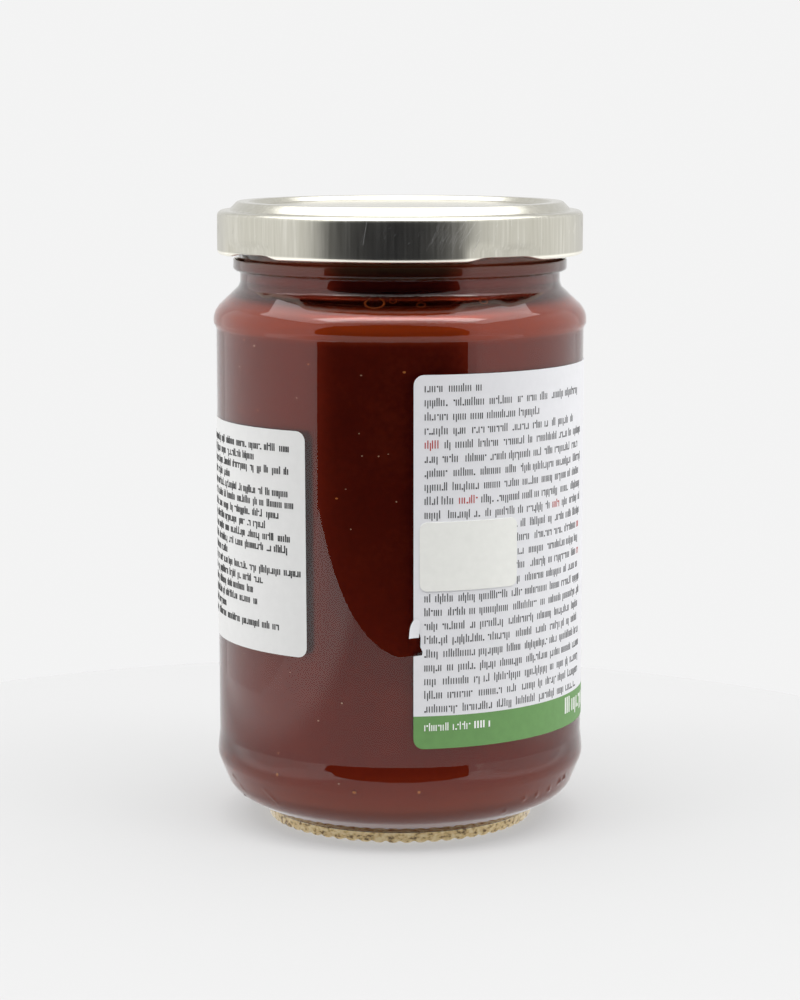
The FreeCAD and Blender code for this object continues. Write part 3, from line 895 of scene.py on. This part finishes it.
spots = [(-12.0, 84.9, 0.17, 0), (1.3, 85.5, 0.24, 1), (-12.7, 74.8, 0.10, 0), (-11.8, 70.9, 0.15, 0),
         (-6.6, 70.9, 0.13, 0), (-3.6, 71.3, 0.11, 0), (-17.0, 65.0, 0.12, 0), (-20.0, 63.3, 0.24, 1),
         (-1.1, 63.0, 0.12, 0), (-15.4, 58.0, 0.12, 0), (-33.8, 80.5, 0.13, 0), (-52.0, 89.0, 0.18, 0),
         (-29.5, 86.5, 0.16, 1), (-18.5, 27.0, 0.16, 0), (-26.5, 23.5, 0.15, 0), (-42.0, 16.5, 0.14, 1),
         (-42.5, 12.5, 0.3, 1), (-14.6, 11.3, 0.34, 1), (-19.6, 12.4, 0.15, 0), (6.0, 11.5, 0.24, 1)]
for _ in range(110):
    spots.append((dice.uniform(30, 330), dice.uniform(13, 90), dice.choice((0.09, 0.11, 0.13, 0.18)),
                  dice.choice((0, 0, 1))))
seeds = bmesh.new()
for angle, up, size, kind in spots:
    flattened = Matrix.Diagonal((1.5, 0.35, dice.uniform(0.7, 1.3), 1.0))
    place = turned(angle) @ Matrix.Translation((0, -wall_radius(up), up)) @ flattened
    made = bmesh.ops.create_icosphere(seeds, subdivisions=2, radius=0.78 * size, matrix=place)
    for face in {face for vert in made["verts"] for face in vert.link_faces}:
        face.material_index = kind
speck_pale = make_material("seed_pale", Base_Color=(0.60, 0.40, 0.28, 1.0), Roughness=0.4)[0]
speck_orange = make_material("seed_orange", Base_Color=(0.60, 0.17, 0.025, 1.0), Roughness=0.4)[0]
finish_piece(seeds, "paste_seeds", [speck_pale, speck_orange])

# %% [markdown]
# Six air bubbles are caught under the shoulder of the glass. All that shows of such a bubble is its rim, so
# each is a thin ring: a small circle spun into a hoop, squeezed to an oval and laid on the flank. They are
# (angle, radius, height, half width, half height, half thickness).

# %% Air bubbles
bubbles = [(-8.7, 28.3, 96.36, 1.65, 1.15, 0.10), (-2.4, 27.95, 96.72, 0.6, 0.5, 0.07),
           (7.1, 28.6, 96.08, 0.75, 0.5, 0.07), (30.0, 28.3, 96.4, 0.7, 0.6, 0.08),
           (-140.0, 28.3, 96.4, 1.1, 0.8, 0.09), (165.0, 28.1, 96.6, 0.6, 0.6, 0.07)]
lying = Matrix.Rotation(math.pi / 2 - shoulder_lean, 4, "X")
rings = bmesh.new()
for angle, radius, up, wide, tall, tube in bubbles:
    hoop = bmesh.new()
    upright_circle = Matrix.Translation((1, 0, 0)) @ Matrix.Rotation(math.pi / 2, 4, "X")
    bmesh.ops.create_circle(hoop, segments=10, radius=tube, matrix=upright_circle)
    bmesh.ops.spin(hoop, geom=hoop.verts[:] + hoop.edges[:], cent=(0, 0, 0), axis=(0, 0, 1), dvec=(0, 0, 0),
                   angle=math.tau, steps=36, use_merge=True, use_duplicate=False)
    bmesh.ops.recalc_face_normals(hoop, faces=hoop.faces)
    bmesh.ops.scale(hoop, vec=(wide, tall, 1), verts=hoop.verts)
    place = turned(angle) @ Matrix.Translation((0, -radius - 0.12, up + 0.1)) @ lying
    bmesh.ops.transform(hoop, matrix=place, verts=hoop.verts)
    handed_over = bpy.data.meshes.new("hoop")
    hoop.to_mesh(handed_over)
    hoop.free()
    rings.from_mesh(handed_over)
    bpy.data.meshes.remove(handed_over)
bubble_rim = make_material("bubble_rim", Base_Color=(0.42, 0.09, 0.015, 1.0), Roughness=0.25)[0]
finish_piece(rings, "paste_bubbles", [bubble_rim])

# %% [markdown]
# A lid that has been handled has hair scratches, many of them round one place. Bump would hardly show at
# this size, so each is a sliver of bright metal laid on the skirt, as (angle, height, length, lean, width).
# The few clear ones are listed one by one and the hairs come from the random draw.

# %% Scratches on the lid
scratch_list = [(-10.4, 109.3, 4.1, 0.16, 0.09), (-3.0, 110.2, 0.5, 1.2, 0.06), (-1.5, 109.0, 0.4, 0.5, 0.08),
                (-4.5, 108.6, 0.5, 0.2, 0.05), (2.6, 107.6, 0.5, 1.0, 0.06)]
for count, angles, lengths, leans in ((46, (9.0, 24.0), (1.2, 3.6), (0.35, 0.75)),
                                      (60, (-180, 180), (0.4, 2.0), (-0.4, 0.6))):
    for _ in range(count):
        scratch_list.append((dice.uniform(*angles), dice.uniform(107.0, 111.0), dice.uniform(*lengths),
                             dice.uniform(*leans), dice.uniform(0.012, 0.03)))
scratches = bmesh.new()
for angle, up, length, lean, width in scratch_list:
    place = (turned(angle) @ Matrix.Translation((0, -lid_radius - 0.004, up)) @ Matrix.Rotation(lean, 4, "Y")
             @ Matrix.Rotation(math.pi / 2, 4, "X") @ Matrix.Diagonal((width, length, 1, 1)))
    bmesh.ops.create_grid(scratches, x_segments=1, y_segments=3, size=0.5, matrix=place)
scratch_radius = lid_radius + 0.012
for vert in scratches.verts:
    reach = scratch_radius / polar(vert.co)[0]
    vert.co.x *= reach
    vert.co.y *= reach
bmesh.ops.recalc_face_normals(scratches, faces=scratches.faces)
bmesh.ops.solidify(scratches, geom=scratches.faces[:], thickness=0.01)
scratch_finish = make_material("tinplate_scratch", Metallic=1.0, Base_Color=(0.80, 0.79, 0.76, 1.0),
                               Roughness=0.42)[0]
finish_piece(scratches, "lid_scratches", [scratch_finish])

# %% [markdown]
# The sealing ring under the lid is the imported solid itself: its shape is right, so nothing is made anew. It
# only needs its finish, a grey-white soft compound, slightly uneven.

# %% The sealing ring
seal_finish, tree, shader = make_material("seal_compound", Roughness=0.45)
mottle = noise(tree, (1, 1, 1), 500.0, 2.0)
seal_tone = ramp(tree, mottle, (0.3, (0.60, 0.58, 0.52)), (0.7, (0.70, 0.68, 0.62)))
tree.links.new(seal_tone, shader.inputs["Base Color"])
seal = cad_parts["lid_seal"]
for place in seal.material_slots:
    place.material = seal_finish
print("finish of", seal.name, "set in", len(seal.material_slots), "slots")

# %% [markdown]
# ## Studio
# Glass and metal show mostly what is round them, so the studio is half of their look. A white surround
# gives an even light from all sides, without the hard spots that a few lamps alone would leave.

# %% Surround
world = bpy.data.worlds.new("studio")
world.use_nodes = True
background = world.node_tree.nodes["Background"].inputs
surround_strength = 0.9
background["Color"].default_value = (1.0, 1.0, 1.0, 1.0)
background["Strength"].default_value = surround_strength
bpy.context.scene.world = world
bpy.context.scene.view_settings.view_transform = "Standard"
print("surround strength", surround_strength)

# %% [markdown]
# The floor is a pale disc whose front half is drawn out towards the camera and cut off nearly straight,
# with a shallow notch in that edge. What lies past the edge is what the heel of the jar mirrors. It is made
# in metres, as the rest of the studio is, and it gives off a little light of its own, as paper lit from
# behind does.

# %% Floor
def stage_piece(mesh, name, material):
    """A piece of the studio, which isn't part of the jar."""
    data = bpy.data.meshes.new(name)
    mesh.to_mesh(data)
    mesh.free()
    data.materials.append(material)
    piece = bpy.data.objects.new(name, data)
    bpy.context.collection.objects.link(piece)
    return piece


floor_finish = make_material("floor_pale", Base_Color=(0.23, 0.23, 0.23, 1.0), Roughness=0.7,
                             Specular_IOR_Level=0.2, Emission_Color=(1.0, 1.0, 1.0, 1.0),
                             Emission_Strength=0.39)[0]
floor_mesh = bmesh.new()
bmesh.ops.create_circle(floor_mesh, cap_ends=True, segments=128, radius=0.139)
bmesh.ops.translate(floor_mesh, verts=floor_mesh.verts, vec=(-0.0095, 0.002, 0.0))
front = [vert for vert in floor_mesh.verts if vert.co.y < 0.001]
bmesh.ops.translate(floor_mesh, verts=front, vec=(0, -0.35, 0))
bmesh.ops.scale(floor_mesh, verts=front, vec=(2.2, 1, 1))
bmesh.ops.bisect_plane(floor_mesh, geom=floor_mesh.verts[:] + floor_mesh.edges[:] + floor_mesh.faces[:],
                       plane_co=(0, -0.214, 0), plane_no=(-0.05, 1.0, 0.0), clear_inner=True)
front_edge = min(floor_mesh.edges, key=lambda edge: edge.verts[0].co.y + edge.verts[1].co.y)
notch = bmesh.ops.subdivide_edges(floor_mesh, edges=[front_edge], cuts=1)["geom_inner"]
for vert in notch:
    if isinstance(vert, bmesh.types.BMVert):
        vert.co.x, vert.co.y = 0.0, vert.co.y + 0.013
        print("front edge of the floor comes in to", round(vert.co.y, 3))
mirrored_mesh = floor_mesh.copy()
floor = stage_piece(floor_mesh, "floor", floor_finish)
floor.visible_glossy = False

# %% [markdown]
# Glass and metal mirror a plain lit copy of the floor instead of the floor itself. It takes no shadows and
# has no grain, so reflections of it stay clean with few samples. It is brighter at its sides, which gives
# the glass its pale edges, and only mirror-like rays see it.

# %% Mirrored floor
mirrored_finish, tree, shader = make_material("floor_mirrored", Base_Color=(0.0, 0.0, 0.0, 1.0),
                                              Roughness=1.0, Specular_IOR_Level=0.0,
                                              Emission_Color=(1.0, 1.0, 1.0, 1.0))
across = object_coordinates(tree, (10.0, 0.0, 0.0))
sideways = add_node(tree, "VectorMath", {"operation": "LENGTH"}, _0=across)["Value"]
lit = eased(tree, sideways, 0.97, 1.3, 0.86, 1.4)
tree.links.new(lit, shader.inputs["Emission Strength"])
show_nodes(mirrored_finish)
mirrored = stage_piece(mirrored_mesh, "floor_mirrored", mirrored_finish)
mirrored.visible_camera = False
mirrored.visible_diffuse = False
mirrored.visible_transmission = False
mirrored.visible_shadow = False

# %% [markdown]
# A dark card stands in front, left of the middle. The camera doesn't see it, but the lid and the glass do,
# and it gives them the dark middle that makes them look like metal and glass. Black cloth would be the
# usual way; here an oval that gives off a trace of light is as even as it can be.

# %% Dark card
card_finish = make_material("card_dark", Base_Color=(0.0, 0.0, 0.0, 1.0), Roughness=1.0,
                            Specular_IOR_Level=0.0, Emission_Color=(0.008, 0.009, 0.017, 1.0),
                            Emission_Strength=0.9)[0]
card_mesh = bmesh.new()
bmesh.ops.create_circle(card_mesh, cap_ends=True, segments=64, radius=1.0)
bmesh.ops.scale(card_mesh, vec=(0.79, 0.74, 1.0), verts=card_mesh.verts)
stand = Matrix.Rotation(math.radians(90), 3, "X")
bmesh.ops.rotate(card_mesh, cent=(0, 0, 0), matrix=stand, verts=card_mesh.verts)
card_middle = (-0.14, -0.72, 0.0)
bmesh.ops.translate(card_mesh, verts=card_mesh.verts, vec=card_middle)
card = stage_piece(card_mesh, "card", card_finish)
card.visible_camera = False
card.visible_shadow = False
print("middle of the card, m:", card_middle)

# %% [markdown]
# Four large soft boxes add direction: a broad one and a narrow one overhead, and one at each side, the left
# a little stronger. Small lamps would leave hard spots in the glass, where these leave long soft bands.

# %% Soft boxes
def soft_light(name, place, aim, size, power):
    """A rectangular soft box that faces a point, unseen by the camera."""
    data = bpy.data.lights.new(name, "AREA")
    data.shape = "RECTANGLE"
    data.size, data.size_y = size
    data.energy = power
    light = bpy.data.objects.new(name, data)
    light.location = place
    light.rotation_euler = (Vector(aim) - Vector(place)).to_track_quat("-Z", "Y").to_euler()
    light.visible_camera = False
    bpy.context.collection.objects.link(light)
    print(f"{name}: {power} W over {size[0]} by {size[1]} m")


soft_light("softbox_top", (0.0, -0.04, 0.75), (0, -0.04, 0.0), (1.6, 0.92), 9.4)
soft_light("softbox_front", (0.0, -0.23, 0.74), (0, -0.23, 0.0), (1.0, 0.20), 3.4)
soft_light("softbox_left", (-1.1, 0.2, 0.2), (0, 0.2, 0.2), (2.4, 1.4), 3.1)
soft_light("softbox_right", (1.1, 0.2, 0.2), (0, 0.2, 0.2), (2.4, 1.4), 2.6)
